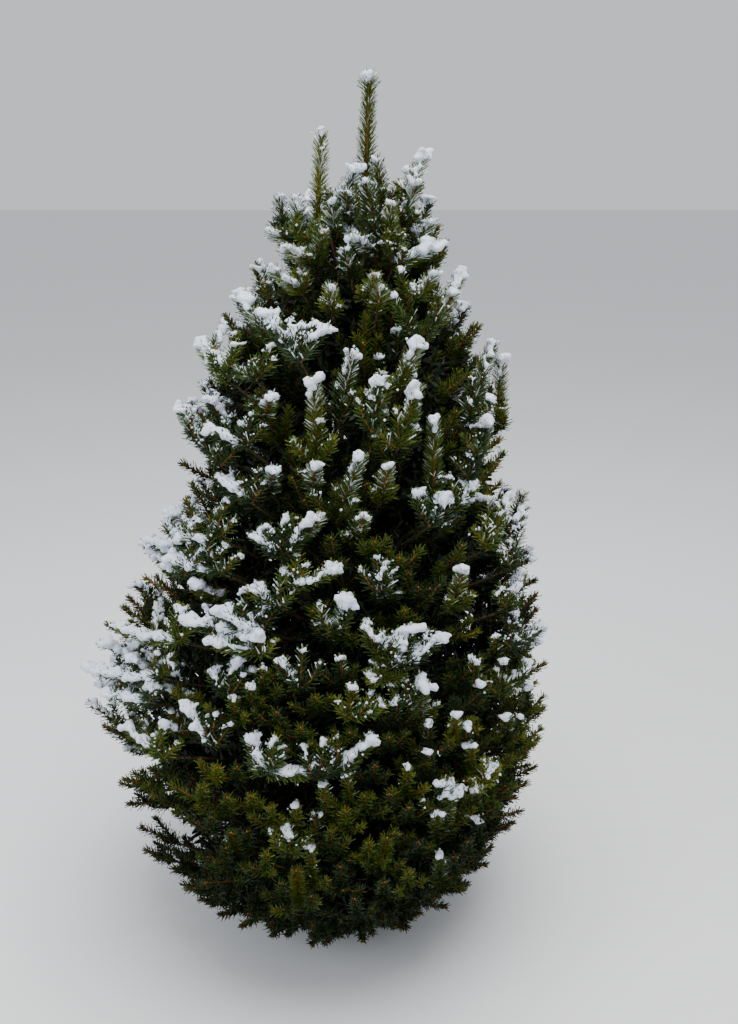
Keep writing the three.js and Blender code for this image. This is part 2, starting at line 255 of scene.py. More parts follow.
# Short shoots with a cap of snow: column and row of the tip
CAPPED_TIPS = (
    (476, 664), (483, 685), (457, 719), (469, 731), (431, 757), (509, 719), (473, 750), (442, 788),
    (450, 800), (492, 776), (464, 792), (478, 795), (481, 823), (438, 819), (309, 859), (287, 845),
    (295, 816), (314, 826), (323, 797), (347, 783), (409, 771), (442, 859), (430, 728), (398, 705),
    (250, 690), (262, 672), (283, 668), (232, 700), (340, 662), (352, 690), (520, 640), (505, 665),
    (498, 640), (530, 690), (522, 720),
)
# Short shoots without snow low in front: column and row of the tip
GREEN_TIPS = (
    (235, 770), (225, 800), (250, 800), (270, 815), (245, 835), (265, 860), (330, 840), (345, 820),
    (365, 805), (390, 800), (410, 810), (395, 835), (420, 845), (370, 850), (340, 875), (310, 905),
    (280, 890), (355, 905), (385, 885), (410, 875), (455, 860), (470, 845), (215, 770), (200, 790),
    (210, 820), (225, 850), (390, 740), (375, 770), (300, 730), (275, 715), (330, 745), (350, 735),
    (315, 700), (400, 560), (375, 545), (420, 590),
)
# How far aside of and below the tips the feet of short shoots are, and the share of snow of the capped
CAPPED_FOOT = (4, 24)
GREEN_FOOT = (3, 10)
CAPPED_SNOW = 0.4
# How far inside the crown's outline the foot and the tip of such shoots are
STRONG_INSIDE = (45, -6)
LADEN_INSIDE = (6, -3)

# Where snow lies: how likely it is round the crown, and the height below which none stays
SNOW_AZIMUTHS = (0, 60, 90, 150, 180, 215, 240, 270, 300, 330, 360)
SNOW_LIKELY = (0.22, 0.4, 0.5, 0.52, 0.4, 0.2, 0.05, 0.02, 0.03, 0.08, 0.22)
SNOW_FLOOR = (430, 380, 350, 300, 230, 330, 500, 600, 540, 450, 430)
SNOW_FADE = 130
SNOWY_TOP = 1120
TOP_FADE = 150
TOP_LIKELY = 0.5
LEAST_SNOW = 0.25
BANK_SNOW = 0.8
# Snow counts as lying from this share on, in lumps so far apart; and the height where it is parted
LADEN_FROM = 0.12
LUMP_STEP = 5
SNOW_PARTING = 900
GRAINS_ON_LUMPS = 5000
GRAIN_RADII = (1.5, 3.4)
# How far snow and needles may reach beyond the solids' box
SNOW_BEYOND = 10
NEEDLES_BEYOND = (25, 25, 0)
# Banks of snow: azimuth and height of the middle, half width in degrees, half height
SNOW_BANKS = (
    (206, 882, 20, 60), (226, 900, 12, 45), (200, 630, 22, 60), (237, 780, 9, 30),
    (312, 1010, 14, 50), (342, 700, 10, 40),
)

# Greens of the needles, from the near-black painted shade of the crown's inside to the white of covered
# ones
GREENS = ("shade", "dark", "forest", "moss", "olive", "bright", "cold", "frosted", "snowed")
SHADE, DARK, FOREST, MOSS, OLIVE, BRIGHT, COLD, FROSTED, SNOWED = range(len(GREENS))
STRONG_GREENS = (FOREST, MOSS, MOSS, OLIVE)
# Weight of each green of a spray: always, low in the crown, at its foot (painted shade: more dark and
# fewer light greens where shade falls at the crown's foot), on the left and under snow (the cold green,
# partly painted bluish shade)
GREEN_WEIGHTS = (
    (DARK, 0.15, 0, 4.6, 0, 0),
    (FOREST, 0.65, 0, 0, 0, 0),
    (MOSS, 0.7, 0.2, -0.5, 0, 0),
    (OLIVE, 0.22, 0.5, -0.68, 0, 0),
    (BRIGHT, 0.01, 0.1, -0.1, 0, 0),
    (COLD, 0.02, 0, 0, 0.4, 0.14),
)
LOW_CROWN = (370, 720)
CROWN_FOOT = (280, 510)

# Stage in metres: half the floor's width, sky, and the lights' names, places, sizes, power and colours
FLOOR_HALF = 40
SKY_COLOUR = (0.9, 0.92, 0.96, 1)
SKY_STRENGTH = 0.8
LIGHTS = (
    ("overhead", (0.3, -0.6, 4.2), 3.0, 210, (1.0, 0.98, 0.95)),
    ("left", (-3.2, -2.2, 2.6), 2.2, 60, (0.93, 0.96, 1.0)),
)
LIT_HEIGHT = 0.9


def length_property(name, description, default, least):
    return bpy.props.FloatProperty(
        name=name, description=description, default=default, min=least, unit="LENGTH", subtype="DISTANCE")


class SpruceSizes(bpy.types.PropertyGroup):
    needle_length: length_property("Needle length", "Length of a full needle", 0.0195, 0.005)
    needle_width: length_property("Needle width", "Width of a needle at its foot", 0.0031, 0.0005)
    needle_spacing: length_property("Needle spacing", "Length of twig for each needle", 0.00105, 0.0005)
    bud_length: length_property("Bud length", "Length of the bud that ends a shoot", 0.0075, 0.002)
    bark_relief: length_property("Bark relief", "Height of the bark's scales", 0.0011, 0.0)
    snow_grain: length_property("Snow grain", "Smallest form of the snow's surface", 0.0042, 0.002)
    snow_depth: length_property("Snow depth", "Half the depth of snow on a shoot", 0.0102, 0.003)


def colour_property(name, description, default):
    return bpy.props.FloatVectorProperty(
        name=name, description=description, default=default, min=0.0, max=1.0, subtype="COLOR")


class SpruceColours(bpy.types.PropertyGroup):
    bark: colour_property("Bark", "Grey-brown bark of the trunk", (0.085, 0.058, 0.04))
    bark_cracks: colour_property("Bark cracks", "Between the bark's scales", (0.03, 0.02, 0.014))
    twig: colour_property("Young bark", "Orange-brown bark of young twigs", (0.27, 0.1, 0.014))
    old_twig: colour_property("Old twig", "Brown bark of older twigs", (0.07, 0.04, 0.02))
    bud: colour_property("Bud", "Scales of the buds", (0.33, 0.1, 0.022))
    # The shade green is near-black painted shade for needles deep in the crown, where shade falls
    shade: colour_property("Needles, shade", "Needles deep in the crown", (0.008, 0.014, 0.005))
    # The dark green is that of old needles, and is also dealt as painted shade at the crown's foot, to
    # body needles and to the bases of shoots
    dark: colour_property("Needles, dark", "Old needles", (0.012, 0.026, 0.006))
    forest: colour_property("Needles, forest", "Common green", (0.025, 0.047, 0.006))
    moss: colour_property("Needles, moss", "Lighter green", (0.044, 0.077, 0.007))
    olive: colour_property("Needles, olive", "Yellowish green", (0.08, 0.105, 0.009))
    bright: colour_property("Needles, bright", "Tips low in front", (0.12, 0.145, 0.012))
    # The cold green stands partly for frost and partly for painted bluish shade, on the crown's left side
    # and under snow
    cold: colour_property("Needles, cold", "Bluish green under snow", (0.026, 0.055, 0.018))
    frosted: colour_property("Needles, frosted", "Needles with rime", (0.32, 0.4, 0.34))
    snowed: colour_property("Needles, snowed", "Needles coated with snow", (0.8, 0.85, 0.9))
    snow: colour_property("Snow", "Fresh snow", (0.8, 0.85, 0.94))
    floor: colour_property("Floor", "Studio floor", (0.8, 0.81, 0.83))


def mix(a, b, share):
    return a + (b - a) * share


def random_from(seed):
    """The source's random numbers between 0 and 1."""
    state = ((seed + 1) * 2654435761) & 0xFFFFFFFF

    def draw():
        nonlocal state
        state = (state * 1664525 + 1013904223) & 0xFFFFFFFF
        return state / 4294967296

    return draw


def axis_x(height):
    return LEAN_AT_TIP * height / TREE_HEIGHT


def trunk_radius(height):
    rest = np.maximum(0, 1 - height / TREE_HEIGHT)
    return mix(TIP_RADIUS, BASE_RADIUS, rest**TAPER_POWER) + FLARE_RADIUS * np.exp(-height / FLARE_HEIGHT)


def hump(shape, height, azimuth):
    turn = math.remainder(azimuth - shape["azimuth"], TAU)
    away = (turn / shape["spread"]) ** 2 + ((height - shape["height"]) / shape["tall"]) ** 2
    return shape["depth"] * math.exp(-away)


def outline(height, azimuth):
    """Radius of the crown's outline."""
    radius = float(np.interp(height, CROWN_HEIGHTS, CROWN_RADII))
    side = 1 - SIDEWAYS * math.cos(azimuth) - FRONT_TRIM * max(0, -math.sin(azimuth))
    return radius * side + hump(BULGE, height, azimuth) + hump(NOTCH, height, azimuth)


def shell_height(tier, level, radius):
    slope = mix(SLOPES[tier], SLOPES[tier + 1], level)
    return mix(FEET[tier], FEET[tier + 1], level) + slope * radius


def reach(tier, level, azimuth):
    radius = CROWN_RADII[0]
    for _ in range(REACH_ROUNDS):
        radius = mix(radius, outline(shell_height(tier, level, radius), azimuth), REACH_EASE)
    return radius


def crown_point(tier, level, azimuth, radius):
    height = shell_height(tier, level, radius)
    return np.array([axis_x(height) + radius * math.cos(azimuth), radius * math.sin(azimuth), height])


class Space:
    """The space of one foliage mass: its tier, its sector and how far it reaches."""

    def __init__(self, tier, number):
        _, masses, _, _, turn, _ = TIERS[tier]
        self.tier = tier
        self.seed = tier * 10 + number
        draw = random_from(self.seed + MASS_SEEDS)
        self.azimuth = math.radians(turn) + TAU * number / masses
        self.half = math.pi / masses
        self.length = mix(SHORTEST_MASS, LONGEST_MASS, draw())
        self.start_across = draw()
        self.start_level = draw()
        self.lumps = (TAU * draw(), TAU * draw())
        self.reach = reach(tier, 0.5, self.azimuth) * self.length

    def stem_point(self, share):
        level = 0.5 - BOUGH_SAG * math.sin(math.pi * share)
        return crown_point(self.tier, level, self.azimuth, self.reach * share)

    def core_point(self, across, rise):
        """Point on the outer face of the source's dense core, sunk by a root's depth."""
        azimuth = self.azimuth + across * self.half * CORE_WIDTH
        level = 0.5 + 0.5 * rise * CORE_HEIGHT
        outer = reach(self.tier, level, azimuth) * self.length
        depth = min(CORE_DEPTH, outer * CORE_SHARE)
        edge = max(0, 2 * abs(across) - 1, 1.5 * abs(rise) - 0.5)
        lump = math.sin(2 * across + self.lumps[0]) * math.cos(1.5 * rise + self.lumps[1])
        outside = (outer - depth) * (1 + CORE_LUMP * lump - CORE_ROUND * edge)
        return crown_point(self.tier, level, azimuth, outside - SHOOT_SUNK)

    def shoot(self, number):
        """Root and tip of a numbered shoot by the source's rule."""
        draw = random_from(self.seed * SHOOT_SEEDS + number)
        across = ((self.start_across + number * ACROSS_STEP) % 1) * 2 - 1
        rank = ((self.start_level + number * LEVEL_STEP) % 1) * 2 - 1
        azimuth = self.azimuth + across * self.half * TIP_SPAN
        level = 0.5 + 0.5 * rank * TIP_SPAN
        radius = reach(self.tier, level, azimuth) * self.length * mix(TIP_SHORTEST, 1, draw())
        tip = crown_point(self.tier, level, azimuth, radius)
        root_across = across * ROOT_SPAN + ROOT_JITTER * (draw() - 0.5)
        root_rise = min(max(rank * ROOT_SPAN - 2 * SHOOT_LIFT, -ROOT_SPAN), ROOT_SPAN)
        return self.core_point(root_across, root_rise), tip


SPACES = [Space(tier, number) for tier in range(len(TIERS) - 1) for number in range(TIERS[tier][1])]


def unit(vector):
    return vector / max(np.linalg.norm(vector), 1e-9)


class Bend:
    """A smooth bend from start to end that heads for a knee."""

    def __init__(self, start, knee, end):
        self.start, self.knee, self.end = (np.asarray(p, float) for p in (start, knee, end))
        self.shares = np.linspace(0, 1, 17)
        points = np.array([self.at(share) for share in self.shares])
        steps = np.linalg.norm(np.diff(points, axis=0), axis=1)
        self.walked = np.concatenate([[0], np.cumsum(steps)])
        self.length = self.walked[-1]

    def at(self, share):
        rest = 1 - share
        return rest * rest * self.start + 2 * rest * share * self.knee + share * share * self.end

    def along(self, share):
        return unit((1 - share) * (self.knee - self.start) + share * (self.end - self.knee))

    def share_from_end(self, distance):
        return float(np.interp(self.length - distance, self.walked, self.shares))

    def parts(self, share):
        """The bend cut in two at a share."""
        middle = self.at(share)
        first = Bend(self.start, mix(self.start, self.knee, share), middle)
        return first, Bend(middle, mix(self.knee, self.end, share), self.end)


class Growth:
    """Every twig of the crown: its bend, its sort and tier, and what grows and lies on it."""

    def __init__(self):
        self.rows = []

    def add(self, bend, sort, tier, green, snow=0.0, **changes):
        """Adds a twig of a sort, some of whose values may be changed."""
        self.rows.append((bend, *sort._replace(**changes), tier, green, snow))

    def close(self):
        """Turns the rows into arrays."""
        for name in ("start", "knee", "end", "length"):
            setattr(self, name + "s", np.array([getattr(row[0], name) for row in self.rows]))
        for place, name in enumerate((*Sort._fields, "tier", "green", "snow"), 1):
            setattr(self, name, np.array([row[place] for row in self.rows]))
        return self


def place_round_axis(point):
    """Azimuth and radius of a point as seen from the crown's axis at its height."""
    x, y = point[0] - axis_x(point[2]), point[1]
    return math.atan2(y, x), math.hypot(x, y)


def held_in(point, spare):
    """The point, drawn towards the trunk where it stands too near the crown's outline."""
    azimuth, radius = place_round_axis(point)
    middle = np.array([axis_x(point[2]), 0.0, point[2]])
    limit = outline(point[2], azimuth) - spare
    held = middle + (point - middle) * min(1, max(limit, 1) / max(radius, 1))
    held[:2] = np.clip(held[:2], BOX_LOW[:2] + spare, BOX_HIGH[:2] - spare)
    return held


def seen_at(column, row, inside):
    """The point of the crown, so far inside its outline, that a pixel of the photograph shows."""
    tilt = math.radians(CAMERA_TILT)
    ahead = np.array([0, math.cos(tilt), -math.sin(tilt)])
    above = np.array([0, math.sin(tilt), math.cos(tilt)])
    right = (column - PICTURE[0] / 2) / FOCAL_PIXELS
    below = (row - PICTURE[1] / 2) / FOCAL_PIXELS
    ray = unit(ahead + np.array([right, 0, 0]) - below * above)
    nearest, least = None, math.inf
    for far in range(*CROWN_FROM_CAMERA, CAMERA_STEP):
        point = CAMERA_PLACE + ray * far
        azimuth, radius = place_round_axis(point)
        gap = radius + inside - outline(point[2], azimuth)
        if gap < least:
            nearest, least = point, gap
        if gap <= 0:
            break
    return nearest


def shoots_seen(rows, inside):
    """Root, tip and share of snow of shoots given by their pixels."""
    return [(seen_at(*row[:2], inside[0]), seen_at(*row[2:4], inside[1]), row[4]) for row in rows]


def feet_below(tips, foot, snow):
    """Rows of pixels of short shoots: their feet are aside of and below their tips."""
    return [(column - math.copysign(foot[0], column - PICTURE[0] / 2), row + foot[1], column, row, snow)
            for column, row in tips]


STRONG = shoots_seen(STRONG_SHOOTS, STRONG_INSIDE)
LADEN = shoots_seen(LADEN_SHOOTS, LADEN_INSIDE)
SHORT = shoots_seen(
    feet_below(CAPPED_TIPS, CAPPED_FOOT, CAPPED_SNOW) + feet_below(GREEN_TIPS, GREEN_FOOT, 0.0),
    STRONG_INSIDE)
ROOTS, TIPS = (np.array([shoot[end] for shoot in STRONG + LADEN]) for end in (0, 1))


def gap_beside(point):
    """Distance from the nearest shoot that stands out."""
    along = TIPS - ROOTS
    shares = np.clip(((point - ROOTS) * along).sum(axis=1) / (along**2).sum(axis=1), 0, 1)
    return np.linalg.norm(ROOTS + shares[:, None] * along - point, axis=1).min()


def spare_beside(point, gap):
    """How far inside the outline a common shoot ends: further where one stands out beside it."""
    return TIP_SPARE if gap > CROWDING else float(np.interp(point[2], CROWDED_HEIGHTS, CROWDED_SPARE))


def points_on(starts, knees, ends, shares):
    """Points at shares along many bends at once."""
    rest = 1 - shares
    weights = (rest * rest)[..., None], (2 * rest * shares)[..., None], (shares * shares)[..., None]
    return weights[0] * starts + weights[1] * knees + weights[2] * ends


def rows_unit(vectors):
    return vectors / np.maximum(np.linalg.norm(vectors, axis=-1, keepdims=True), 1e-9)


def across_rows(along):
    """For each direction a level one across it and one that completes the frame."""
    steep = np.abs(along[:, 2:]) > 0.97
    level = rows_unit(np.cross(along, np.where(steep, np.array([0.0, 1.0, 0.0]), UP)))
    return level, np.cross(level, along)


def outwards(along, roll):
    """The direction across a twig at an angle round it."""
    level, lift = (row[0] for row in across_rows(along[None]))
    return level * math.cos(roll) + lift * math.sin(roll)


def ramp(value, low, high):
    """Share of the way from low to high, kept between 0 and 1."""
    return min(1, max(0, (value - low) / (high - low)))


def snow_share(point, rng):
    """How much snow a spray at this point carries, from 0 to 1."""
    height = point[2]
    azimuth = math.degrees(place_round_axis(point)[0]) % 360
    floor = np.interp(azimuth, SNOW_AZIMUTHS, SNOW_FLOOR)
    likely = np.interp(azimuth, SNOW_AZIMUTHS, SNOW_LIKELY)
    likely = mix(likely, TOP_LIKELY, ramp(height, SNOWY_TOP, SNOWY_TOP + TOP_FADE))
    likely *= ramp(height, floor, floor + SNOW_FADE)
    draw, amount = rng.random(2)
    share = mix(LEAST_SNOW, 1.0, amount**1.3) if draw < likely else 0.0
    for middle, level, width, tall in SNOW_BANKS:
        if ((azimuth - middle) / width) ** 2 + ((height - level) / tall) ** 2 < 1:
            share = max(share, mix(BANK_SNOW, 1.0, amount))
    return share


def spray_green(point, snow, rng):
    """The common green of a spray's young shoots."""
    low = 1 - ramp(point[2], *LOW_CROWN)
    # At the crown's foot darker greens are dealt as painted shade
    shaded_foot = 1 - ramp(point[2], *CROWN_FOOT)
    # On the left the bluish cold green is dealt, partly as painted bluish shade
    leftness = max(0, -math.cos(place_round_axis(point)[0]))
    causes = (1, low, shaded_foot, leftness * (1 - low), snow * (1 - low))
    weights = np.array([np.dot(row[1:], causes) for row in GREEN_WEIGHTS])
    return GREEN_WEIGHTS[rng.choice(len(weights), p=weights / weights.sum())][0]


def side_shoot(growth, bend, share, roll, angle, length, tier, dense, green, snow):
    """A shoot that leaves a bend to one side and turns a little upwards."""
    at, along = bend.at(share), bend.along(share)
    heading = unit(along * math.cos(angle) + outwards(along, roll) * math.sin(angle))
    knee = at + heading * length * 0.5
    rise = mix(*SHOOT_RISE, tier / TOP_TIER)
    end = held_in(knee + unit(heading + 0.3 * along + rise * UP) * length * 0.5, TIP_SPARE)
    if tier <= TOP_TIER:
        end[2] = min(end[2], max(WHORL_TOP, at[2] + 0.5 * length))
    growth.add(Bend(at, knee, end), SIDE_SHOOT, tier, green, snow, dense=dense)


def side_shoots(growth, rng, bend, share, count, angle, lengths, tier, dense, green, snow):
    """A whorl of side shoots: flat where the bend lies, all round where it stands."""
    stands = abs(bend.along(share)[2]) > STANDING
    turn = rng.random() * TAU
    for number in range(count):
        if stands:
            roll = turn + TAU * number / count + rng.normal(0, 0.25)
        else:
            roll = FLAT_ROLLS[number] + rng.normal(0, 0.3)
        length = mix(*lengths, rng.random())
        lean = angle + rng.normal(0, 0.1)
        side_shoot(growth, bend, share, roll, lean, length, tier, dense, green, snow)


def spray(growth, rng, bend, tier, season, snow, green):
    """A side branch, its last season's shoot and the side shoots of two seasons."""
    older, shoot = bend.parts(max(bend.share_from_end(season), 0.12))
    bare = SIDE_BRANCH.bare if older.length > season else 0.1
    growth.add(older, SIDE_BRANCH, tier, DARK, snow * 0.4, bare=bare)
    growth.add(shoot, SEASON_SHOOT, tier, green, snow)
    dense = SEASON_SHOOT.dense
    count = 2 + (rng.random() < THIRD_SHOOT)
    sizes = (0.52 * season, 0.82 * season)
    side_shoots(growth, rng, older, 1.0, count, 0.76, sizes, tier, dense, green, snow * 0.9)
    if rng.random() < HALFWAY_SHOOT:
        roll = rng.integers(2) * math.pi + rng.normal(0, 0.4)
        length = mix(0.34 * season, 0.5 * season, rng.random())
        side_shoot(growth, shoot, 0.4, roll, 0.8, length, tier, dense, green, snow * 0.6)
    # Back shoots further inside the spray get a green a step darker: painted shade
    inner = max(green - 1, DARK) if green != COLD else DARK
    back = older.share_from_end(0.85 * season)
    if back > 0.25 and rng.random() < BACK_SHOOTS:
        sizes = (0.6 * season, 0.95 * season)
        side_shoots(growth, rng, older, back, 2, 0.85, sizes, tier, BACK_DENSE, inner, snow * 0.6)


def old_twig(growth, at, heading, size, tier):
    """An older twig whose needles take the near-black painted shade green, kept well inside the crown."""
    spare = max(INNER_SPARE, INNER_SHARE * place_round_axis(at)[1])
    end = held_in(at + heading * size + UP * 10, spare)
    if INNER_FLOOR < end[2] < INNER_TOP:
        growth.add(Bend(at, mix(at, end, 0.5), end), OLD_TWIG, tier, SHADE)


def old_twigs(growth, rng, bend, count, tier):
    """Older twigs that fill the inside of the crown beside a side branch."""
    for _ in range(count):
        share = mix(0.08, 0.6, rng.random())
        along = bend.along(share)
        heading = unit(0.5 * along + outwards(along, rng.random() * TAU))
        old_twig(growth, bend.at(share), heading, mix(*BESIDE_LENGTHS, rng.random()), tier)


def stem_twigs(growth, rng, space):
    """The spray that ends a mass's stem, and the older twigs along the stem."""
    end = space.stem_point(0.98)
    end = held_in(end, spare_beside(end, gap_beside(end)))
    end[2] = min(end[2], WHORL_TOP)
    start, knee = space.stem_point(0.62), space.stem_point(0.8)
    start[2] = min(start[2], end[2] - 60)
    knee[2] = min(knee[2], end[2] - 40)
    snow = snow_share(end, rng)
    green = spray_green(end, snow, rng)
    spray(growth, rng, Bend(start, knee, end), space.tier, STEM_SEASON, snow, green)
    for _ in range(int(INNER_TWIGS[0] + INNER_TWIGS[1] * space.reach)):
        share = mix(0.08, 0.72, rng.random())
        turn = space.azimuth + rng.normal(0, 0.75) * space.half * 1.6
        heading = unit(np.array([math.cos(turn), math.sin(turn), rng.normal(0.1, 0.42)]))
        old_twig(growth, space.stem_point(share), heading, mix(*INNER_LENGTHS, rng.random()), space.tier)


def mass_twigs(growth, rng, space):
    """One mass: the side branches that end where the source's shoots do, and its stem."""
    height_share = space.tier / TOP_TIER
    behind = 0.5 + 0.5 * math.sin(space.azimuth)
    for number in range(round(TIERS[space.tier][5] * mix(FRONT_FULLNESS, BACK_FULLNESS, behind))):
        root, tip = space.shoot(number)
        tip[2] = min(tip[2], WHORL_TOP + rng.normal(0, 25))
        gap = gap_beside(tip)
        tip = held_in(tip, spare_beside(tip, gap))
        root[2] = min(root[2], tip[2] - 40)
        azimuth, radius = place_round_axis(tip)
        off = abs(math.sin(azimuth - space.azimuth)) * radius
        along = math.cos(azimuth - space.azimuth) * radius
        foot = space.stem_point(min(max((along - 0.8 * off - 70) / space.reach, 0.1), 0.86))
        foot[2] = min(foot[2], tip[2] - 50)
        bend = Bend(foot, mix(root, foot, 0.15) - UP * mix(*BRANCH_SAG, height_share), tip)
        old_twigs(growth, rng, bend, BESIDE_BRANCH[space.tier], space.tier)
        if gap < REPLACED:
            continue
        snow = snow_share(tip, rng)
        green = spray_green(tip, snow, rng)
        season = mix(*SEASON, rng.random()) * mix(*SEASON_BY_HEIGHT, height_share)
        spray(growth, rng, bend, space.tier, season, snow, green)
    stem_twigs(growth, rng, space)


def branch_foot(root):
    """Height at which the branch that bears this root leaves the trunk, and its tier."""
    feet = np.array(FEET)
    foot = float(np.interp(root[2], feet + np.array(SLOPES) * place_round_axis(root)[1], feet))
    return foot, int(np.searchsorted(feet, foot, side="right")) - 1


def shoot_on_branch(growth, root, tip, sort, green, snow):
    """A shoot that stands out, on a branch that rises from the trunk to its root."""
    foot_height, tier = branch_foot(root)
    foot = np.array([axis_x(foot_height), 0, foot_height])
    branch = Bend(foot, mix(foot, root, 0.6) - UP * 0.05 * np.linalg.norm(root - foot), root)
    bare = max(RISING_BRANCH.bare, 1 - NEEDLED_END / branch.length)
    growth.add(branch, RISING_BRANCH, tier, DARK, bare=bare)
    length = np.linalg.norm(tip - root)
    shoot = Bend(root, mix(root, tip, 0.5) - UP * 0.06 * length, tip)
    growth.add(shoot, sort, tier, green, snow)
    return branch, shoot, tier, length


def prominent_twigs(growth, rng):
    """The shoots that stand out singly."""
    for root, tip, snow in STRONG:
        tip = held_in(tip + 0.05 * (tip - root), 0)
        green = STRONG_GREENS[rng.integers(len(STRONG_GREENS))]
        branch, _, tier, length = shoot_on_branch(growth, root, tip, STRONG_SHOOT, green, snow)
        sizes = (0.4 * length, 0.62 * length)
        side_shoots(growth, rng, branch, 1.0, 3, 0.8, sizes, tier, 1.3, green, snow * 0.45)
    for root, tip, snow in LADEN + SHORT:
        tip = held_in(tip, 1)
        green = spray_green(tip, 0.0, rng)
        branch, shoot, tier, length = shoot_on_branch(growth, root, tip, LADEN_SHOOT, green, snow)
        capped = snow <= CAPPED_SNOW
        count, share = (2, 0.0) if capped else (3, 0.5)
        sizes = LADEN_SIDE_LENGTHS
        side_shoots(growth, rng, branch, 1.0, count, 0.8, sizes, tier, 1.05, green, share * snow)
        if not capped:
            roll = rng.integers(2) * math.pi
            side_shoot(growth, shoot, 0.45, roll, 0.7, 0.45 * length + 12, tier, 1.0, green, 0.7 * snow)


def leader_twig(growth):
    """The leader: the trunk's own last shoot, capped with snow."""
    foot, neck, top = LEADER_FOOT, TREE_HEIGHT - 40, TREE_HEIGHT - 15
    for low, high, snow, bud in ((foot, neck, 0.1, 0.0), (neck, top, 1.0, LEADER_BUD)):
        points = [np.array([axis_x(h), 0, h]) for h in (low, mix(low, high, 0.5), high)]
        growth.add(Bend(*points), LEADER, TOP_TIER + 1, MOSS, snow, bud=bud)


@functools.cache
def crown():
    """All twigs of the crown, grown once and the same each time."""
    rng = np.random.default_rng(SEED)
    growth = Growth()
    for space in SPACES:
        mass_twigs(growth, rng, space)
    prominent_twigs(growth, rng)
    leader_twig(growth)
    return growth.close()


def clear_piece(name):
    """Removes an earlier piece of this name."""
    old = bpy.data.objects.get(name)
    if old:
        bpy.data.objects.remove(old)


def place_piece(name, mesh, materials, nodes=()):
    """Puts a finished mesh in the scene as a piece that rides on the tree."""
    clear_piece(name)
    piece = bpy.data.objects.new(name, mesh)
    bpy.context.scene.collection.objects.link(piece)
    for material in materials:
        mesh.materials.append(material)
    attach(piece, "root")
    if nodes:
        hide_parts(*nodes)
    return piece


def mesh_of(name, points, faces, kinds=None, smooth=True):
    """A mesh from arrays: points in millimetres, faces all of one size, their materials' numbers."""
    mesh = bpy.data.meshes.new(name)
    mesh.vertices.add(len(points))
    mesh.vertices.foreach_set("co", (points * MM).astype(np.float32).ravel())
    mesh.loops.add(faces.size)
    mesh.loops.foreach_set("vertex_index", faces.astype(np.int32).ravel())
    mesh.polygons.add(len(faces))
    mesh.polygons.foreach_set("loop_start", np.arange(0, faces.size, faces.shape[1], dtype=np.int32))
    if kinds is not None:
        mesh.polygons.foreach_set("material_index", kinds.astype(np.int32))
    mesh.update(calc_edges=True)
    mesh.polygons.foreach_set("use_smooth", np.full(len(faces), smooth))
    return mesh


def shape_of(bm):
    """A small bmesh shape as arrays of points and triangles."""
    bmesh.ops.triangulate(bm, faces=bm.faces[:])
    bmesh.ops.recalc_face_normals(bm, faces=bm.faces[:])
    bm.verts.ensure_lookup_table()
    points = np.array([vert.co[:] for vert in bm.verts])
    faces = np.array([[vert.index for vert in face.verts] for face in bm.faces])
    bm.free()
    return points, faces


def repeat(shape, origins, frames):
    """An array of one small shape: each copy at an origin, its three axes given as rows."""
    points, faces = shape
    placed = origins[:, None, :] + np.einsum("vk,nkc->nvc", points, frames)
    shifted = faces[None] + (np.arange(len(origins)) * len(points))[:, None, None]
    return placed.reshape(-1, 3), shifted.reshape(-1, 3)


def needle_shape():
    """A needle of unit length and width: an edge at its foot and one square to it at its point."""
    bm = bmesh.new()
    for x, y, z in ((-0.5, 0, 0), (0.5, 0, 0), (0, -0.24, 1), (0, 0.24, 1)):
        bm.verts.new((x, y, z))
    bmesh.ops.convex_hull(bm, input=bm.verts[:])
    return shape_of(bm)


def bud_shape():
    """A bud of unit length: an egg with a pointed end."""
    bm = bmesh.new()
    bmesh.ops.create_uvsphere(bm, u_segments=4, v_segments=3, radius=0.5)
    for vert in bm.verts:
        vert.co.z += 0.4
        if vert.co.z > 0.5:
            vert.co.xy *= 0.8
    return shape_of(bm)


def lump_shape(subdivisions):
    bm = bmesh.new()
    bmesh.ops.create_icosphere(bm, subdivisions=subdivisions, radius=1)
    return shape_of(bm)


def grain_shape():
    """A grain of snow with eight faces."""
    bm = bmesh.new()
    bmesh.ops.create_uvsphere(bm, u_segments=4, v_segments=2, radius=1)
    return shape_of(bm)


def limb_shape(sides, rings):
    """A closed limb of unit radius and length whose points carry share and side."""
    bm = bmesh.new()
    bmesh.ops.create_cone(bm, cap_ends=True, segments=sides, radius1=1, radius2=1, depth=1)
    bmesh.ops.translate(bm, verts=bm.verts[:], vec=(0, 0, 0.5))
    uprights = [edge for edge in bm.edges if abs(edge.verts[0].co.z - edge.verts[1].co.z) > 0.5]
    if rings > 1:
        bmesh.ops.subdivide_edges(bm, edges=uprights, cuts=rings - 1)
    return shape_of(bm)


def bent_limbs(shape, starts, knees, ends, thick, thin):
    """A limb shape bent along many bends, with radii from thick to thin."""
    points, faces = shape
    shares = np.broadcast_to(points[:, 2], (len(starts), len(points)))
    centres = points_on(starts[:, None, :], knees[:, None, :], ends[:, None, :], shares)
    level, lift = across_rows(rows_unit(ends - starts))
    radii = mix(thick[:, None], thin[:, None], shares)[..., None]
    across = points[None, :, 0, None] * level[:, None, :] + points[None, :, 1, None] * lift[:, None, :]
    placed = centres + radii * across
    shifted = faces[None] + (np.arange(len(starts)) * len(points))[:, None, None]
    return placed.reshape(-1, 3), shifted.reshape(-1, 3)


